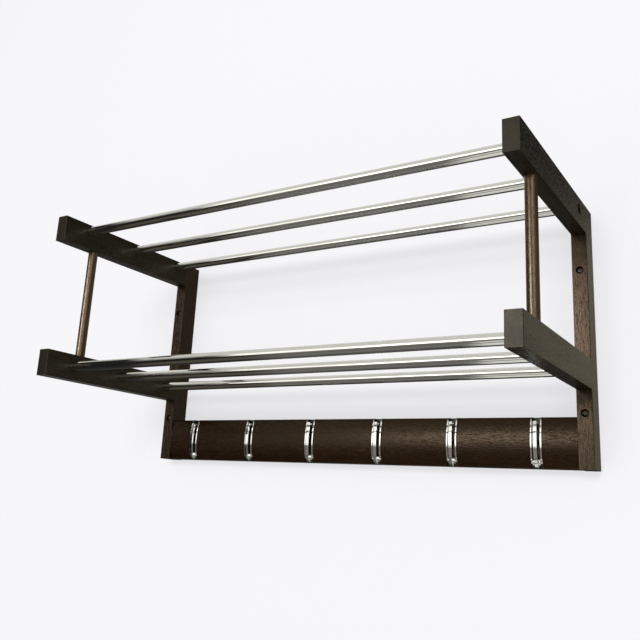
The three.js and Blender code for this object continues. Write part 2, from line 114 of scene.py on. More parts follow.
# hook rail, brackets and hooks
RAIL_BULGE = 5.5 * MM
RAIL_CORNER = 2 * MM
SHEET = 2.5 * MM
SHEET_EDGE = 0.5 * MM
CHEEK_PROUD = 2 * MM  # beyond the rail's bow
CHEEK_FOOT = 12 * MM  # height over which the cheeks run back to the web
CHEEK_HEAD = 5 * MM  # the same at the rail's top
HOOK_PROUD = 5 * MM  # beyond the cheeks
HOOK_THICKNESS = 6 * MM
HOOK_WIDTH = 6 * MM
HOOK_TIP_DROP = 7 * MM  # of the round tip's middle below the rail's top
HOOK_EDGE = 1 * MM
HOOK_OPEN = math.radians(60)
HUB_RADIUS = 5 * MM
STOP_LENGTH = 5 * MM  # of each flat on the knuckle
HEEL_BEND = 3 * MM
HINGE_EDGE = 0.4 * MM

SIDES = {-1: "left", 1: "right"}
LEVELS = ("lower", "upper")
TUBES = (1, 2, 3)
HOOKS = (1, 2, 3, 4, 5, 6)

# ---------------------------------------------------------------- places from the frame

X, Y, Z = Vector((1, 0, 0)), Vector((0, 1, 0)), Vector((0, 0, 1))


class Extent:
    """The box of a CAD node, with its middle and its size."""

    def __init__(self, node):
        self.low, self.high = (Vector(corner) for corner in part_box(node))
        self.middle = (self.low + self.high) / 2
        self.size = self.high - self.low


rail = Extent("hook_rail")
bracket = Extent("hook_bracket_1")
pin = Extent("hook_pin_1")

RAIL_MID = rail.middle.z
RAIL_BOW = ((rail.size.z / 2) ** 2 + RAIL_BULGE**2) / (2 * RAIL_BULGE)
BOW_CENTRE = rail.low.y + RAIL_BOW
CHEEK_BOW = RAIL_BOW + CHEEK_PROUD
HOOK_BOW = CHEEK_BOW + HOOK_PROUD
HOOK_INNER_BOW = HOOK_BOW - HOOK_THICKNESS
PIVOT = Vector((0, pin.middle.y, pin.middle.z))
WEB_BACK = bracket.high.y
WEB_FRONT = WEB_BACK - SHEET


def bow_y(radius, z):
    """Depth of a bow of that radius, about the rail's centre line, at height z."""
    return BOW_CENTRE - math.sqrt(radius**2 - (z - RAIL_MID) ** 2)


# ---------------------------------------------------------------- node trees


class Value:
    """An output socket; arithmetic on it adds Math nodes."""

    def __init__(self, tree, socket):
        self.tree = tree
        self.socket = socket

    def math(self, operation, *values, clamp=False):
        settings = {"operation": operation, "use_clamp": clamp}
        return self.tree.node("ShaderNodeMath", settings, dict(enumerate(values)))

    def __add__(self, other):
        return self.math("ADD", self, other)

    def __sub__(self, other):
        return self.math("SUBTRACT", self, other)

    def __rsub__(self, other):
        return self.math("SUBTRACT", other, self)

    def __mul__(self, other):
        return self.math("MULTIPLY", self, other)

    __radd__ = __add__
    __rmul__ = __mul__

    def step(self, low, high):
        """0 below low, 1 above high, and a soft change between them."""
        return self.tree.node(
            "ShaderNodeMapRange",
            {"interpolation_type": "SMOOTHSTEP"},
            {"Value": self, "From Min": low, "From Max": high},
        )

    def between(self, low, full, fading, gone):
        """1 from full to fading, 0 below low and above gone."""
        return self.step(low, full) * (1 - self.step(fading, gone))


class Tree:
    """The nodes of a material or of the world."""

    def __init__(self, owner):
        owner.use_nodes = True
        self.nodes = owner.node_tree.nodes
        self.links = owner.node_tree.links
        self.nodes.clear()

    def node(self, kind, settings=None, inputs=None, output=0):
        """A node of that type; inputs are numbers, colours or links, by name or place."""
        node = self.nodes.new(kind)
        for name, value in (settings or {}).items():
            setattr(node, name, value)
        for name, value in (inputs or {}).items():
            socket = node.inputs[name]
            if isinstance(value, Value):
                self.links.new(value.socket, socket)
            else:
                socket.default_value = value
        return Value(self, node.outputs[output]) if node.outputs else None

    def mix(self, factor, first, second):
        """Colours mixed by a factor from 0, the first, to 1, the second."""
        return self.node(
            "ShaderNodeMix", {"data_type": "RGBA"}, {0: factor, 6: first, 7: second}, output=2
        )

    def part(self, vector, axis):
        """One of the three parts of a vector, as a number."""
        return self.node("ShaderNodeSeparateXYZ", None, {0: vector}, output="XYZ".index(axis))

    def noise(self, place, scale, detail=3.0, roughness=0.5):
        inputs = {"Vector": place, "Scale": scale, "Detail": detail, "Roughness": roughness}
        return self.node("ShaderNodeTexNoise", None, inputs)

    def stretched(self, scale=(1, 1, 1)):
        """Object coordinates, scaled along each axis."""
        place = self.node("ShaderNodeTexCoord", output="Object")
        return self.node("ShaderNodeMapping", None, {"Vector": place, "Scale": scale})

    def bump(self, height, strength, distance):
        inputs = {"Height": height, "Strength": strength, "Distance": distance}
        return self.node("ShaderNodeBump", None, inputs)

    def surface(self, **inputs):
        """A Principled surface as the material's output."""
        named = {name.replace("_", " "): value for name, value in inputs.items()}
        shader = self.node("ShaderNodeBsdfPrincipled", None, named)
        self.node("ShaderNodeOutputMaterial", None, {"Surface": shader})


def colour(red, green, blue):
    return (red, green, blue, 1.0)


def grey(level):
    """A faintly warm grey."""
    return colour(level, level * 0.99, level * 0.92)


# ---------------------------------------------------------------- finishes


def dark_wood(name, grain, lit, deep, roughness, sheen=(1.0, 0.78, 0.56), shine=0.3):
    """Dark stained open-pored hardwood under a satin lacquer; grain runs along that axis.

    lit and deep are the colours of the figure, sheen tints the lacquer's reflection.
    """
    material = bpy.data.materials.new(name)
    tree = Tree(material)

    def along(stretch):
        return tree.stretched([1.0 if axis == grain else stretch for axis in "XYZ"])

    bands = tree.noise(along(9.0), 7.0, detail=4.0, roughness=0.6)
    streaks = tree.noise(along(14.0), 40.0, detail=4.0, roughness=0.65)
    pores = tree.noise(along(20.0), 110.0, detail=2.0, roughness=0.6).step(0.55, 0.68)
    flecks = tree.noise(along(8.0), 105.0, detail=2.0)
    figure = (bands * 0.45 + streaks * 0.55).step(0.36, 0.64)
    facing = tree.part(tree.node("ShaderNodeNewGeometry", output="Normal"), grain)
    end_grain = (facing * facing).step(0.6, 0.9)
    wood = tree.mix(figure, colour(*deep), colour(*lit))
    wood = tree.mix(pores * 0.6, wood, colour(0.006, 0.004, 0.003))
    tree.surface(
        Base_Color=wood,
        Roughness=pores * 0.22 + (1 - figure) * 0.06 + end_grain * 0.08 + roughness,
        Specular_IOR_Level=shine,
        Specular_Tint=colour(*sheen),
        Normal=tree.bump(streaks - pores + flecks * 2.2, 0.4, 0.00014),
    )
    return material


def chrome(name, waviness=0.0, ripple=11.0, painted_shade_depth=None):
    """Bright plated steel, wavy by that height in metres, with ripples of that scale.

    Behind that depth, inside the channel, its colour is painted dark and its surface made
    rougher: painted shade for the channel's shadowed recess.
    """
    material = bpy.data.materials.new(name)
    tree = Tree(material)
    smears = tree.noise(tree.stretched(), 60.0, detail=3.0).step(0.45, 0.8)
    clean, smeared = colour(0.82, 0.82, 0.80), colour(0.73, 0.73, 0.71)
    inputs = {
        "Base_Color": tree.mix(smears * 0.4, clean, smeared),
        "Metallic": 1.0,
        "Roughness": smears * 0.05 + 0.05,
    }
    if painted_shade_depth is not None:
        # painted shade: the inside of the channel is darkened as if in shadow, and roughened
        depth = tree.part(tree.node("ShaderNodeTexCoord", output="Object"), "Y")
        painted_channel_shade = depth.step(painted_shade_depth, painted_shade_depth + 2 * MM)
        inputs["Base_Color"] = tree.mix(painted_channel_shade, inputs["Base_Color"], colour(0.07, 0.065, 0.06))
        inputs["Roughness"] = painted_channel_shade * 0.35 + inputs["Roughness"]
    if waviness:
        waves = tree.noise(tree.stretched((1, 3, 3)), ripple, detail=1.0)
        inputs["Normal"] = tree.bump(waves, 0.5, waviness)
    tree.surface(**inputs)
    return material


def dull_steel(name):
    material = bpy.data.materials.new(name)
    tree = Tree(material)
    scratches = tree.noise(tree.stretched(), 900.0, detail=2.0).step(0.5, 0.7)
    tree.surface(
        Base_Color=tree.mix(scratches, colour(0.045, 0.04, 0.036), colour(0.10, 0.092, 0.085)),
        Metallic=1.0,
        Roughness=scratches * -0.15 + 0.5,
        Normal=tree.bump(scratches, 0.2, 0.00005),
    )
    return material


def plain_beech(name):
    material = bpy.data.materials.new(name)
    tree = Tree(material)
    flecks = tree.noise(tree.stretched(), 300.0, detail=3.0)
    tree.surface(
        Base_Color=tree.mix(flecks, colour(0.55, 0.36, 0.19), colour(0.68, 0.48, 0.28)),
        Roughness=0.7,
    )
    return material


FINISHES = {
    "arm": dark_wood(
        "arm_wood",
        grain="Y",
        lit=(0.015, 0.0109, 0.0067),
        deep=(0.005, 0.0036, 0.0021),
        roughness=0.22,
        sheen=(1.0, 0.9, 0.74),
    ),
    "upright": dark_wood(
        "upright_wood",
        grain="Z",
        lit=(0.020, 0.0128, 0.0073),
        deep=(0.0064, 0.004, 0.0022),
        roughness=0.21,
        sheen=(1.0, 0.7, 0.5),
        shine=0.29,
    ),
    "rail": dark_wood(
        "rail_wood",
        grain="X",
        lit=(0.0185, 0.0077, 0.0031),
        deep=(0.0066, 0.0026, 0.001),
        roughness=0.225,
        sheen=(1.0, 0.77, 0.52),
        shine=0.2,
    ),
    "post": dark_wood(
        "post_wood",
        grain="Z",
        lit=(0.036, 0.018, 0.007),
        deep=(0.014, 0.0062, 0.0022),
        roughness=0.23,
        shine=0.95,
    ),
    "tube": chrome("tube_chrome", waviness=0.0006),
    "hook": chrome("hook_chrome", waviness=0.0001, ripple=120.0),
    # the brackets' channels get painted shade behind the rail's front
    "bracket": chrome("bracket_chrome", painted_shade_depth=rail.low.y + MM),
    "steel": dull_steel("screw_steel"),
    "dowel": plain_beech("dowel_beech"),
}

# ---------------------------------------------------------------- making pieces


# what each lamp lights: the wood with its screws, and the room
LACQUERED = bpy.data.collections.new("lacquered")
PAINTED = bpy.data.collections.new("painted")

SLOTS = {"steel": "dark_steel", "tube": "chrome", "hook": "chrome", "bracket": "chrome"}


def finished(bm, node, finish, body="rack"):
    """The shape becomes the shown piece for that CAD node and rides on its body."""
    bmesh.ops.remove_doubles(bm, verts=bm.verts, dist=WELD)
    bmesh.ops.recalc_face_normals(bm, faces=bm.faces)
    for face in bm.faces:
        face.smooth = True
    for edge in bm.edges:
        edge.smooth = len(edge.link_faces) == 2 and edge.calc_face_angle() < SMOOTH_BELOW
    mesh = bpy.data.meshes.new(f"{node}_shape")
    bm.to_mesh(mesh)
    bm.free()
    mesh.materials.append(FINISHES[finish])
    piece = bpy.data.objects.new(f"{node}_finished", mesh)
    bpy.context.scene.collection.objects.link(piece)
    weighting = piece.modifiers.new("flat faces stay flat", "WEIGHTED_NORMAL")
    weighting.keep_sharp = True
    if SLOTS.get(finish) != "chrome":
        LACQUERED.objects.link(piece)
    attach(piece, body)
    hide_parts(node)


def only(kind, items):
    """The vertices, edges or faces among what an operation returned."""
    return [item for item in items if isinstance(item, kind)]


def sliced(bm, point, normal, dist=CUT, clear=False):
    """Adds edges where a plane crosses the shape, and can clear the normal's side of it."""
    geometry = bm.verts[:] + bm.edges[:] + bm.faces[:]
    bmesh.ops.bisect_plane(
        bm, geom=geometry, dist=dist, plane_co=point, plane_no=normal, clear_outer=clear
    )


def cut_away(bm, point, normal):
    """Removes what lies on the normal's side of a plane and closes the cut."""
    sliced(bm, point, normal, WELD, clear=True)
    bmesh.ops.holes_fill(bm, edges=[edge for edge in bm.edges if edge.is_boundary], sides=0)


def face_toward(axis):
    """Rotation that turns +Z to that axis."""
    return Z.rotation_difference(Vector(axis)).to_matrix().to_4x4()


def turned(bm, start, axis, profile, steps=48):
    """A solid of revolution: profile lists (radius, distance along the axis) pairs."""
    turn = Matrix.Translation(start) @ face_toward(axis)
    points = [turn @ Vector((radius, 0, along)) for radius, along in profile]
    corners = [bm.verts.new(point) for point in points]
    edges = [bm.edges.new(pair) for pair in zip(corners, corners[1:])]
    bmesh.ops.spin(
        bm,
        geom=corners + edges,
        cent=start,
        axis=axis,
        angle=math.tau,
        steps=steps,
        use_merge=True,
    )
    bmesh.ops.remove_doubles(bm, verts=bm.verts, dist=CUT)


def rod(radius, length, edge):
    """Profile of a solid round bar with a chamfer at both ends."""
    start = [(0, 0), (radius - edge, 0), (radius, edge)]
    return start + [(radius, length - edge), (radius - edge, length), (0, length)]


def flat_outline(bm, points):
    """A face in the plane x = 0 through points given as (y, z)."""
    corners = [bm.verts.new((0, y, z)) for y, z in points]
    return bm.faces.new(corners)


def extruded(bm, face, offset):
    """Extrudes a face by offset into a closed solid and returns the two end faces."""
    grown = bmesh.ops.extrude_face_region(bm, geom=[face], use_keep_orig=True)["geom"]
    bmesh.ops.translate(bm, verts=only(bmesh.types.BMVert, grown), vec=offset)
    return face, only(bmesh.types.BMFace, grown)[0]


def bevelled(bm, edges, width, segments=3, clamp=True):
    bmesh.ops.bevel(
        bm,
        geom=list(edges),
        offset=width,
        segments=segments,
        profile=0.5,
        affect="EDGES",
        material=-1,
        clamp_overlap=clamp,
    )


def drill(bm, mouth, outward, profile, steps=48):
    """Sinks a round hole into the flat face at mouth: profile lists (radius, depth) pairs."""
    outward = Vector(outward)
    mouth = Vector(mouth)

    def holds_mouth(face):
        if face.normal.dot(outward) < 0.999:
            return False
        if abs((face.verts[0].co - mouth).dot(outward)) > 0.01 * MM:
            return False
        return bmesh.geometry.intersect_face_point(face, mouth)

    face = max((f for f in bm.faces if holds_mouth(f)), key=lambda f: f.calc_area())
    outline = list(face.edges)
    at_mouth = Matrix.Translation(mouth) @ face_toward(outward)
    ring = bmesh.ops.create_circle(bm, segments=steps, radius=profile[0][0], matrix=at_mouth)
    edges = list({edge for vert in ring["verts"] for edge in vert.link_edges})
    bmesh.ops.delete(bm, geom=[face], context="FACES_ONLY")
    bmesh.ops.triangle_fill(
        bm, use_beauty=True, use_dissolve=False, edges=outline + edges, normal=outward
    )
    for (radius, depth), (next_radius, next_depth) in zip(profile, profile[1:]):
        sunk = bmesh.ops.extrude_edge_only(bm, edges=edges)["geom"]
        edges, verts = only(bmesh.types.BMEdge, sunk), only(bmesh.types.BMVert, sunk)
        if next_radius != radius:
            about = Matrix.Translation(-(mouth - outward * depth))
            bmesh.ops.scale(bm, verts=verts, vec=(next_radius / radius,) * 3, space=about)
        bmesh.ops.translate(bm, verts=verts, vec=-outward * (next_depth - depth))
    bmesh.ops.edgeloop_fill(bm, edges=edges)


def hole(radius, depth, rim=RIM):
    """Profile of a drilled hole with a chamfered rim."""
    return [(radius + rim, 0), (radius, rim), (radius, depth)]


# ---------------------------------------------------------------- side frames


def frame_blank(name):
    """Upright and arms of one side in one, so that the eased edges run round the corners."""
    upright = Extent(f"{name}_upright")
    lower, upper = (Extent(f"{name}_{level}_arm") for level in LEVELS)
    front = upright.low.y
    outline = [(0, 0), (front, 0)]
    outline += [(front, lower.low.z), (lower.low.y, lower.low.z)]
    outline += [(lower.low.y, lower.high.z), (front, lower.high.z)]
    outline += [(front, upper.low.z), (upper.low.y, upper.low.z)]
    outline += [(upper.low.y, upper.high.z), (0, upright.high.z)]
    bm = bmesh.new()
    face = flat_outline(bm, outline)
    bmesh.ops.translate(bm, verts=bm.verts, vec=(upright.low.x, 0, 0))
    ends = extruded(bm, face, (upright.size.x, 0, 0))
    bmesh.ops.recalc_face_normals(bm, faces=bm.faces)
    bevelled(bm, {edge for end in ends for edge in end.edges}, EASED_EDGE)
    bm.normal_update()
    return bm


def inner_face(side, board):
    return board.low.x if side > 0 else board.high.x


def outer_face(side, board):
    return board.high.x if side > 0 else board.low.x


def finish_upright(name):
    upright = Extent(f"{name}_upright")
    bm = frame_blank(name)
    cut_away(bm, (0, upright.low.y, 0), (0, -1, 0))
    bm.normal_update()
    for level in LEVELS:
        screw = Extent(f"{name}_{level}_wall_screw")
        at = (screw.middle.x, upright.low.y, screw.middle.z)
        drill(bm, at, (0, -1, 0), hole(COUNTERBORE, COUNTERBORE))
        drill(bm, (at[0], 0, at[2]), (0, 1, 0), hole(SCREW_HOLE, COUNTERBORE))
    bolt = Extent(f"{name}_frame_bolt")
    drill(bm, (bolt.middle.x, 0, bolt.middle.z), (0, 1, 0), hole(BOLT_HEAD_HOLE, BOLT_SINK))
    finished(bm, f"{name}_upright", "upright")


def finish_arm(side, name, level):
    arm = Extent(f"{name}_{level}_arm")
    post = Extent(f"{name}_post")
    upper = level == "upper"
    bm = frame_blank(name)
    cut_away(bm, (0, arm.high.y, 0), (0, 1, 0))
    cut_away(bm, (0, 0, post.middle.z), (0, 0, -1) if upper else (0, 0, 1))
    bm.normal_update()
    for number in TUBES:
        tube = Extent(f"{level}_shelf_tube_{number}")
        at = (inner_face(side, arm), tube.middle.y, tube.middle.z)
        drill(bm, at, (-side, 0, 0), hole(tube.size.y / 2 + GAP, TUBE_SEAT_DEPTH))
    at = (post.middle.x, post.middle.y, arm.low.z if upper else arm.high.z)
    toward_post = (0, 0, -1) if upper else (0, 0, 1)
    drill(bm, at, toward_post, hole(post.size.x / 2 + GAP, POST_SEAT_DEPTH))
    if upper:
        nut = Extent(f"{name}_cross_nut")
        at = (outer_face(side, arm), nut.middle.y, nut.middle.z)
        seat = hole(nut.size.y / 2 + GAP, NUT_SINK + nut.size.x, NUT_RIM)
        drill(bm, at, (side, 0, 0), seat)
    finished(bm, f"{name}_{level}_arm", "arm")


def finish_post(name):
    post = Extent(f"{name}_post")
    foot = Vector((post.middle.x, post.middle.y, post.low.z))
    bm = bmesh.new()
    turned(bm, foot, Z, rod(post.size.x / 2, post.size.z, POST_EDGE), steps=64)
    finished(bm, f"{name}_post", "post")


# ---------------------------------------------------------------- fasteners


def slotted(bm, top, outward, width, depth):
    """Sinks a straight slot across a screw head whose highest point is top."""
    outward = Vector(outward)
    across = Z if abs(outward.z) < 0.5 else X
    for sign in (-1, 1):
        sliced(bm, Vector(top) + across * (sign * width / 2), across)
    floor = Vector(top) - outward * depth
    strip = [
        face
        for face in bm.faces
        if abs((face.calc_center_median() - Vector(top)).dot(across)) < width / 2
        and (face.calc_center_median() - floor).dot(outward) > 0
        and face.normal.dot(outward) > 0.05
    ]
    sunk = bmesh.ops.extrude_face_region(bm, geom=strip)["geom"]
    bmesh.ops.delete(bm, geom=strip, context="FACES")
    for vert in only(bmesh.types.BMVert, sunk):
        vert.co -= outward * (vert.co - floor).dot(outward)


def finish_wall_screw(name, level):
    node = f"{name}_{level}_wall_screw"
    screw = Extent(node)
    head, length = screw.size.x / 2, screw.size.y
    top = Vector((screw.middle.x, screw.low.y, screw.middle.z))
    shank = head / 2
    dome = [(head * share, depth) for share, depth in SCREW_DOME]
    bm = bmesh.new()
    turned(bm, top, Y, dome + [(shank, dome[-1][1]), (shank, length), (0, length)])
    bm.normal_update()
    bmesh.ops.recalc_face_normals(bm, faces=bm.faces)
    slotted(bm, top, -Y, *SCREW_SLOT)
    finished(bm, node, "steel")


def finish_cross_nut(side, name):
    node = f"{name}_cross_nut"
    nut = Extent(node)
    radius, length = nut.size.y / 2, nut.size.x
    top = Vector((outer_face(side, nut), nut.middle.y, nut.middle.z))
    inward = Vector((-side, 0, 0))
    profile = [(0, 0), (radius - FASTENER_EDGE, 0), (radius, FASTENER_EDGE)]
    bm = bmesh.new()
    turned(bm, top, inward, profile + [(radius, length), (0, length)])
    bmesh.ops.recalc_face_normals(bm, faces=bm.faces)
    slotted(bm, top, -inward, *NUT_SLOT)
    finished(bm, node, "steel")


def finish_frame_bolt(name):
    node = f"{name}_frame_bolt"
    bolt = Extent(node)
    head, length = bolt.size.x / 2, bolt.size.y
    top = Vector((bolt.middle.x, bolt.high.y, bolt.middle.z))
    profile = [(0, 0), (head - FASTENER_EDGE, 0), (head, FASTENER_EDGE)]
    profile += [(head, BOLT_HEAD_HEIGHT), (BOLT_SHANK, BOLT_HEAD_HEIGHT)]
    profile += [(BOLT_SHANK, length - BOLT_TIP), (BOLT_SHANK - BOLT_TIP, length), (0, length)]
    bm = bmesh.new()
    turned(bm, top, -Y, profile)
    bmesh.ops.dissolve_limit(bm, angle_limit=0.01, verts=bm.verts, edges=bm.edges)
    bmesh.ops.recalc_face_normals(bm, faces=bm.faces)
    bm.normal_update()
    drill(bm, top, Y, [(head / 2, 0), (head / 2, BOLT_SOCKET_DEPTH)], steps=6)
    finished(bm, node, "steel")


# ---------------------------------------------------------------- shelf tubes


def finish_tube(level, number):
    node = f"{level}_shelf_tube_{number}"
    tube = Extent(node)
    radius, length = tube.size.y / 2, tube.size.x
    start = Vector((tube.low.x, tube.middle.y, tube.middle.z))
    bore = radius - TUBE_WALL
    outside = rod(radius, length, TUBE_EDGE)[1:-1]
    bm = bmesh.new()
    turned(bm, start, X, [(bore, 0), *outside, (bore, length), (bore, 0)], steps=96)
    finished(bm, node, "tube")


# ---------------------------------------------------------------- hook rail


def bowed_front(bm, front, height, slices):
    """Slices the shape by height and moves what stands at y = 0 onto the curve."""
    for i in range(1, slices):
        sliced(bm, (0, 0, height * (1 - math.cos(math.pi * i / slices)) / 2), Z)
    for vert in bm.verts:
        if abs(vert.co.y) < 1e-9:
            vert.co.y = front(vert.co.z)


def flat_plan(bm, points):
    """A face in the plane z = 0 through points given as (x, y)."""
    return bm.faces.new([bm.verts.new((x, y, 0)) for x, y in points])


def rail_front(z):
    """The bow, with a rounded corner at the rail's top and bottom edges."""
    edge = min(z - rail.low.z, rail.high.z - z)
    corner = 0.0
    if edge < RAIL_CORNER:
        rest = RAIL_CORNER**2 - (RAIL_CORNER - edge) ** 2
        corner = RAIL_CORNER - math.sqrt(max(0.0, rest))
    return bow_y(RAIL_BOW, z) + corner


def finish_rail():
    """Extruded upwards from its plan, a comb whose notches take the brackets."""
    half = bracket.size.x / 2 + GAP
    floor = WEB_BACK + GAP
    plan = [(rail.high.x, rail.high.y), (rail.low.x, rail.high.y), (rail.low.x, 0)]
    for number in HOOKS:
        x = Extent(f"hook_pin_{number}").middle.x
        plan += [(x - half, 0), (x - half, floor), (x + half, floor), (x + half, 0)]
    plan.append((rail.high.x, 0))
    bm = bmesh.new()
    extruded(bm, flat_plan(bm, plan), (0, 0, rail.size.z))
    bowed_front(bm, rail_front, rail.size.z, slices=32)
    finished(bm, "hook_rail", "rail")


# ---------------------------------------------------------------- folding hooks


def cheek_front(z):
    """The cheeks follow the bow and round off towards the rail's top and bottom."""
    head = rail.high.z - CHEEK_HEAD
    if z < CHEEK_FOOT:
        turn = 1 - math.sqrt(1 - z / CHEEK_FOOT) if z > 0 else 0.0
        back, front = WEB_FRONT - SHEET, bow_y(CHEEK_BOW, CHEEK_FOOT)
        return (1 - turn) ** 2 * back + 2 * turn * (1 - turn) * front + turn**2 * front
    if z > head:
        turn = min(1.0, (z - head) / CHEEK_HEAD)
        front, back = bow_y(CHEEK_BOW, head), WEB_FRONT - 2 * SHEET
        return front + (back - front) * turn**3
    return bow_y(CHEEK_BOW, z)


def finish_bracket(number):
    """A channel: its plan is a U, drawn up to the rail's height."""
    node = f"hook_bracket_{number}"
    extent = Extent(node)
    x = extent.middle.x
    half = extent.size.x / 2
    inner = half - SHEET
    plan = [(x + half, 0), (x + half, WEB_BACK), (x - half, WEB_BACK), (x - half, 0)]
    plan += [(x - inner, 0), (x - inner, WEB_FRONT), (x + inner, WEB_FRONT), (x + inner, 0)]
    bm = bmesh.new()
    extruded(bm, flat_plan(bm, plan), (0, 0, rail.size.z))
    bowed_front(bm, cheek_front, rail.size.z, slices=40)
    bm.normal_update()
    rims = [
        edge
        for edge in bm.edges
        if len(edge.link_faces) == 2
        and edge.calc_face_angle() > math.radians(60)
        and all(vert.co.y < WEB_FRONT - SHEET + GAP for vert in edge.verts)
        and abs(edge.verts[0].co.z - edge.verts[1].co.z) > CUT
    ]
    bevelled(bm, rims, SHEET_EDGE)
    finished(bm, node, "bracket")


def finish_bracket_screw(number):
    node = f"bracket_screw_{number}"
    screw = Extent(node)
    head, length = screw.size.x / 2, screw.size.y
    top = Vector((screw.middle.x, screw.low.y, screw.middle.z))
    profile = [(0, 0), (head, 0), (head, BRACKET_SCREW_RIM)]
    profile += [(BRACKET_SCREW_SHANK, BRACKET_SCREW_CONE), (BRACKET_SCREW_SHANK, length)]
    bm = bmesh.new()
    turned(bm, top, Y, profile + [(0, length)], steps=32)
    bmesh.ops.recalc_face_normals(bm, faces=bm.faces)
    slotted(bm, top, -Y, *BRACKET_SCREW_SLOT)
    finished(bm, node, "bracket")


def arc(centre, radius, start, end, steps):
    """Points as (y, z) along an arc, both ends included."""
    turns = [start + (end - start) * i / steps for i in range(steps + 1)]
    return [(centre[0] + radius * math.cos(t), centre[1] + radius * math.sin(t)) for t in turns]


def bend(start, control, end, steps=10):
    """Points as (y, z) along a quadratic curve, both ends included."""
    points = []
    for i in range(steps + 1):
        t = i / steps
        a, b, c = (1 - t) ** 2, 2 * t * (1 - t), t**2
        points.append(tuple(a * p + b * q + c * r for p, q, r in zip(start, control, end)))
    return points


def hook_outline():
    """Side of the hook: a bowed blade that turns back into the knuckle round its pin.

    The knuckle is flat above its shoulder, which stops the hook folded, and flat below
    its heel, which stops it open.
    """

    def clear(corner, points):
        """The points of a bend that leave room for the rounded edge at a sharp corner."""
        return [point for point in points if math.dist(point, corner) > HOOK_EDGE * 1.3]

    apart = 0.02 * MM
    pivot = (PIVOT.y, PIVOT.z)
    knuckle = WEB_FRONT - PIVOT.y - GAP
    heel = (
        pivot[0] + knuckle * math.cos(HOOK_OPEN) - STOP_LENGTH * math.sin(HOOK_OPEN),
        pivot[1] - knuckle * math.sin(HOOK_OPEN) - STOP_LENGTH * math.cos(HOOK_OPEN),
    )
    shoulder = (pivot[0] + knuckle, pivot[1] + STOP_LENGTH)
    blade_foot = 2 * pivot[1]
    inner_foot = blade_foot + HOOK_THICKNESS
    bow = (BOW_CENTRE, RAIL_MID)
    middle = (HOOK_BOW + HOOK_INNER_BOW) / 2

    def turn(radius, z):
        return math.pi - math.asin((z - RAIL_MID) / radius)

    tip_turn = turn(middle, rail.high.z - HOOK_TIP_DROP)
    tip = (bow[0] + middle * math.cos(tip_turn), bow[1] + middle * math.sin(tip_turn))
    inner = (bow_y(HOOK_INNER_BOW, inner_foot), inner_foot)
    outer = (bow_y(HOOK_BOW, blade_foot), blade_foot)
    stretches = [
        [heel],
        arc(pivot, knuckle, -HOOK_OPEN, 0, 10),
        [shoulder],
        clear(shoulder, bend(shoulder, (inner[0], shoulder[1] + MM), inner)),
        arc(bow, HOOK_INNER_BOW, turn(HOOK_INNER_BOW, inner_foot), tip_turn, 20),
        arc(tip, HOOK_THICKNESS / 2, tip_turn - math.pi, tip_turn - math.tau, 16),
        arc(bow, HOOK_BOW, tip_turn, turn(HOOK_BOW, blade_foot), 28),
        clear(heel, bend(outer, (outer[0] + MM, heel[1] + HEEL_BEND), heel, 14)),
    ]
    points = []
    for point in (point for stretch in stretches for point in stretch):
        if not points or math.dist(point, points[-1]) > apart:
            points.append(point)
    return points[:-1] if math.dist(points[0], points[-1]) < apart else points


def round_tip(bm, x, centre, radius):
    """Draws the blade in to a half circle across its width above the given height."""
    slices = 16
    for i in range(slices):
        sliced(bm, (0, 0, centre + radius * math.sin(math.pi / 2 * i / slices)), Z)
    for vert in bm.verts:
        rise = min(1.0, (vert.co.z - centre) / radius)
        if rise > 0:
            vert.co.x = x + (vert.co.x - x) * math.sqrt(1 - rise**2)


def finish_hook(number):
    node = f"hook_{number}"
    extent = Extent(node)
    x = extent.middle.x
    radius = HOOK_WIDTH / 2
    bm = bmesh.new()
    face = flat_outline(bm, hook_outline())
    bmesh.ops.translate(bm, verts=bm.verts, vec=(x - radius, 0, 0))
    ends = extruded(bm, face, (HOOK_WIDTH, 0, 0))
    bmesh.ops.recalc_face_normals(bm, faces=bm.faces)
    bevelled(bm, {edge for end in ends for edge in end.edges}, HOOK_EDGE, segments=6, clamp=False)
    top = rail.high.z - HOOK_TIP_DROP + HOOK_THICKNESS / 2
    round_tip(bm, x, top - radius, radius)
    hub = Vector((x - extent.size.x / 2, PIVOT.y, PIVOT.z))
    turned(bm, hub, X, rod(HUB_RADIUS, extent.size.x, HINGE_EDGE))
    finished(bm, node, "hook", body=f"hook_{number}")


def finish_pin(number):
    node = f"hook_pin_{number}"
    extent = Extent(node)
    start = Vector((extent.low.x, extent.middle.y, extent.middle.z))
    bm = bmesh.new()
    turned(bm, start, X, rod(extent.size.y / 2, extent.size.x, HINGE_EDGE), steps=32)
    finished(bm, node, "hook")


# ---------------------------------------------------------------- the rack

for side, name in SIDES.items():
    finish_upright(name)
    for level in LEVELS:
        finish_arm(side, name, level)
        finish_wall_screw(name, level)
    finish_post(name)
    finish_cross_nut(side, name)
    finish_frame_bolt(name)

for level in LEVELS:
    for number in TUBES:
        finish_tube(level, number)

finish_rail()
for number in HOOKS:
    finish_bracket(number)
    finish_bracket_screw(number)
    finish_pin(number)
    finish_hook(number)

# the hidden dowels keep their own shape
for node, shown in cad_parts.items():
    if "dowel" in node:
        shown.data.materials.clear()
        shown.data.materials.append(FINISHES["dowel"])

# ---------------------------------------------------------------- room and light

SOFTBOX_WIDTH, SOFTBOX_HEIGHT = 1.27, 0.92


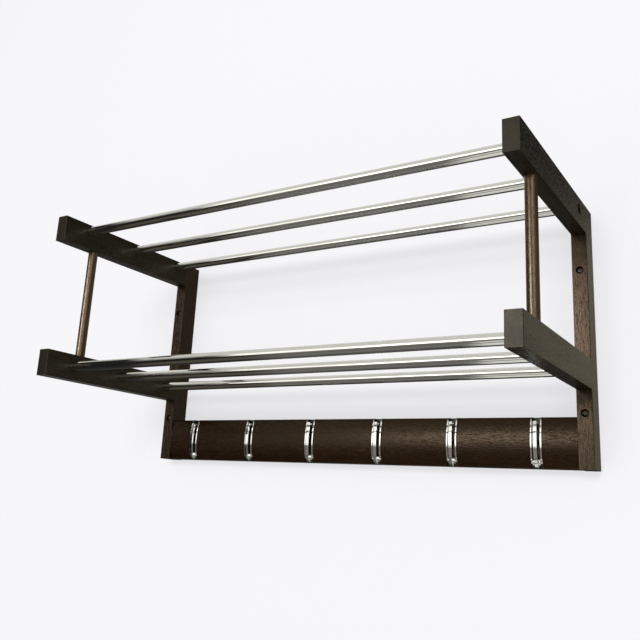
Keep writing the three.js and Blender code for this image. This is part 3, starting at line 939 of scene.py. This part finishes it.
def pale_paint():
    """Keeps a faint shadow; see-through from behind and to the fill and shadow rays."""
    material = bpy.data.materials.new("pale_paint")
    tree = Tree(material)
    matt = tree.node("ShaderNodeBsdfDiffuse", None, {"Color": colour(0.95, 0.945, 0.965)})
    glow = tree.node("ShaderNodeEmission", None, {"Color": colour(0.985, 0.98, 1.0)})
    paint = tree.node("ShaderNodeMixShader", None, {0: 0.6, 1: matt, 2: glow})
    behind = tree.node("ShaderNodeNewGeometry", output="Backfacing")
    fill = tree.node("ShaderNodeLightPath", output="Is Diffuse Ray")
    shadow = tree.node("ShaderNodeLightPath", output="Is Shadow Ray")
    clear = behind.math("ADD", behind + fill, shadow, clamp=True)
    nothing = tree.node("ShaderNodeBsdfTransparent")
    mixed = tree.node("ShaderNodeMixShader", None, {0: clear, 1: paint, 2: nothing})
    tree.node("ShaderNodeOutputMaterial", None, {"Surface": mixed})
    return material


def room():
    """The wall that the rack hangs on and the floor below it, as one bent sheet."""
    bm = bmesh.new()
    wall = 0.5 * MM  # behind the rack's back, so that no faces coincide
    reach, top, floor, front = 4.0, 3.0, -1.6, -5.0
    corners = [(-reach, wall, top), (reach, wall, top)]
    corners += [(reach, wall, floor), (-reach, wall, floor)]
    face = bm.faces.new([bm.verts.new(corner) for corner in corners])
    foot = next(e for e in face.edges if all(v.co.z < floor + 0.1 for v in e.verts))
    run = bmesh.ops.extrude_edge_only(bm, edges=[foot])["geom"]
    moved = only(bmesh.types.BMVert, run)
    bmesh.ops.translate(bm, verts=moved, vec=(0, front - wall, 0))
    bmesh.ops.recalc_face_normals(bm, faces=bm.faces)
    bm.normal_update()
    bm.faces.ensure_lookup_table()
    if bm.faces[0].normal.y > 0:
        bmesh.ops.reverse_faces(bm, faces=bm.faces)
    mesh = bpy.data.meshes.new("room")
    bm.to_mesh(mesh)
    bm.free()
    mesh.materials.append(pale_paint())
    sheet = bpy.data.objects.new("room", mesh)
    sheet.visible_glossy = False
    bpy.context.scene.collection.objects.link(sheet)
    PAINTED.objects.link(sheet)


def surroundings():
    """White to the eye, plain soft fill, and a room with two windows for gloss to show.

    The room's patches are ranges of the direction that a reflection looks in, each laid
    over the one before.
    """
    world = bpy.data.worlds.new("surroundings")
    bpy.context.scene.world = world
    tree = Tree(world)
    sight = tree.node("ShaderNodeTexCoord", output="Generated")
    x, y, z = (tree.part(sight, axis) for axis in "XYZ")

    # across from the rack: the floor and a dark corner, a pale ceiling, a pale low strip
    near = x.step(-0.61, -0.55)
    floor = tree.mix(z.step(-0.85, -0.45), grey(0.17), grey(0.13))
    floor = tree.mix(z.step(-0.42, -0.2), floor, colour(0.23, 0.205, 0.175))
    corner = tree.mix(z.step(-0.60, -0.25), colour(0.085, 0.076, 0.06), grey(0.012))
    front = tree.mix(near, corner, floor)
    front = tree.mix(z.step(0.05, 0.75), front, grey(0.68))
    strip = x.step(-0.35, -0.33) * z.between(-0.78, -0.7, -0.5, -0.42)
    front = tree.mix(strip, front, grey(0.7))
    front = tree.mix(x.step(-0.715, -0.69), grey(0.015), front)

    # the window with its bright middle, and a second one to the right
    window = x.between(-0.64, -0.60, -0.14, -0.04) * z.between(-0.06, 0.0, 0.40, 0.58)
    front = tree.mix(window, front, grey(1.25))
    core = x.between(-0.52, -0.46, -0.2, -0.1) * z.between(0.0, 0.06, 0.28, 0.36)
    front = tree.mix(core, front, grey(2.75))
    second = x.between(0.25, 0.40, 0.6, 0.9) * z.between(-0.06, 0.0, 0.45, 0.6)
    front = tree.mix(second, front, grey(3.0))

    # behind the rack: the wall, lighter towards its top, and what stands to the right
    wall = tree.mix(z.step(-0.55, 0.3), grey(0.09), grey(0.5))
    shaded = tree.mix(z.step(-0.35, 0.05), grey(0.03), grey(0.35))
    wall = tree.mix(near, shaded, wall)
    wall = tree.mix(z.step(0.2, 0.55), wall, grey(0.75))
    wall = tree.mix(x.step(-0.42, -0.34) * (1 - z.step(0.1, 0.25)), wall, grey(0.05))
    beside = tree.mix(z.step(0.32, 0.36), colour(0.345, 0.315, 0.235), grey(0.0))
    wall = tree.mix(x.step(0.0, 0.12), wall, beside)

    # below the rack, where undersides look
    mirrored = tree.mix(y.step(-0.12, 0.08), front, wall)
    below = x.step(-0.36, -0.32) * (1 - z.step(-0.9, -0.8))
    mirrored = tree.mix(below, mirrored, grey(0.75))

    glossy = tree.node("ShaderNodeLightPath", output="Is Glossy Ray")
    camera = tree.node("ShaderNodeLightPath", output="Is Camera Ray")
    seen = tree.mix(glossy, colour(0.52, 0.52, 0.53), mirrored)
    seen = tree.mix(camera, seen, colour(0.905, 0.90, 0.93))
    background = tree.node("ShaderNodeBackground", None, {"Color": seen})
    tree.node("ShaderNodeOutputWorld", None, {"Surface": background})
    world.cycles.sampling_method = "NONE"


def softbox(name, place, target, power, lit):
    """A lamp that lights only the objects in that collection."""
    light = bpy.data.lights.new(name, "AREA")
    light.shape = "RECTANGLE"
    light.size, light.size_y = SOFTBOX_WIDTH, SOFTBOX_HEIGHT
    light.energy = power
    lamp = bpy.data.objects.new(name, light)
    lamp.location = place
    lamp.rotation_euler = (Vector(target) - Vector(place)).to_track_quat("-Z", "Y").to_euler()
    lamp.visible_camera = False
    lamp.light_linking.receiver_collection = lit
    bpy.context.scene.collection.objects.link(lamp)


room()
surroundings()
middle = (cad_box[0] + cad_box[1]) / 2
softbox("window", (-1.05, -3.94, 0.98), middle, 54.0, LACQUERED)
softbox("wall_light", (0.5, -3.94, 0.98), middle, 55.0, PAINTED)

# ---------------------------------------------------------------- camera

HEADING = math.radians(33.53)  # to the left of straight at the wall
PITCH = math.radians(14.51)
ROLL = math.radians(3.27)
EYE = (0.6464, -1.1499, -0.0596)
FOCAL_LENGTH = 43.19
SENSOR_WIDTH = 36.0
SHIFT = (0.0254, -0.0317)

ahead = Vector(
    (
        -math.sin(HEADING) * math.cos(PITCH),
        math.cos(HEADING) * math.cos(PITCH),
        math.sin(PITCH),
    )
)
level = Vector((math.cos(HEADING), math.sin(HEADING), 0))
above = level.cross(ahead)
right = level * math.cos(ROLL) + above * math.sin(ROLL)
up = above * math.cos(ROLL) - level * math.sin(ROLL)

lens = bpy.data.cameras.new("camera")
lens.sensor_width = SENSOR_WIDTH
lens.lens = FOCAL_LENGTH
lens.shift_x, lens.shift_y = SHIFT
camera = bpy.data.objects.new("camera", lens)
turn = Matrix((right, up, -ahead)).transposed().to_4x4()
camera.matrix_world = Matrix.Translation(EYE) @ turn
bpy.context.scene.collection.objects.link(camera)
bpy.context.scene.camera = camera

bpy.context.scene.view_settings.view_transform = "Standard"
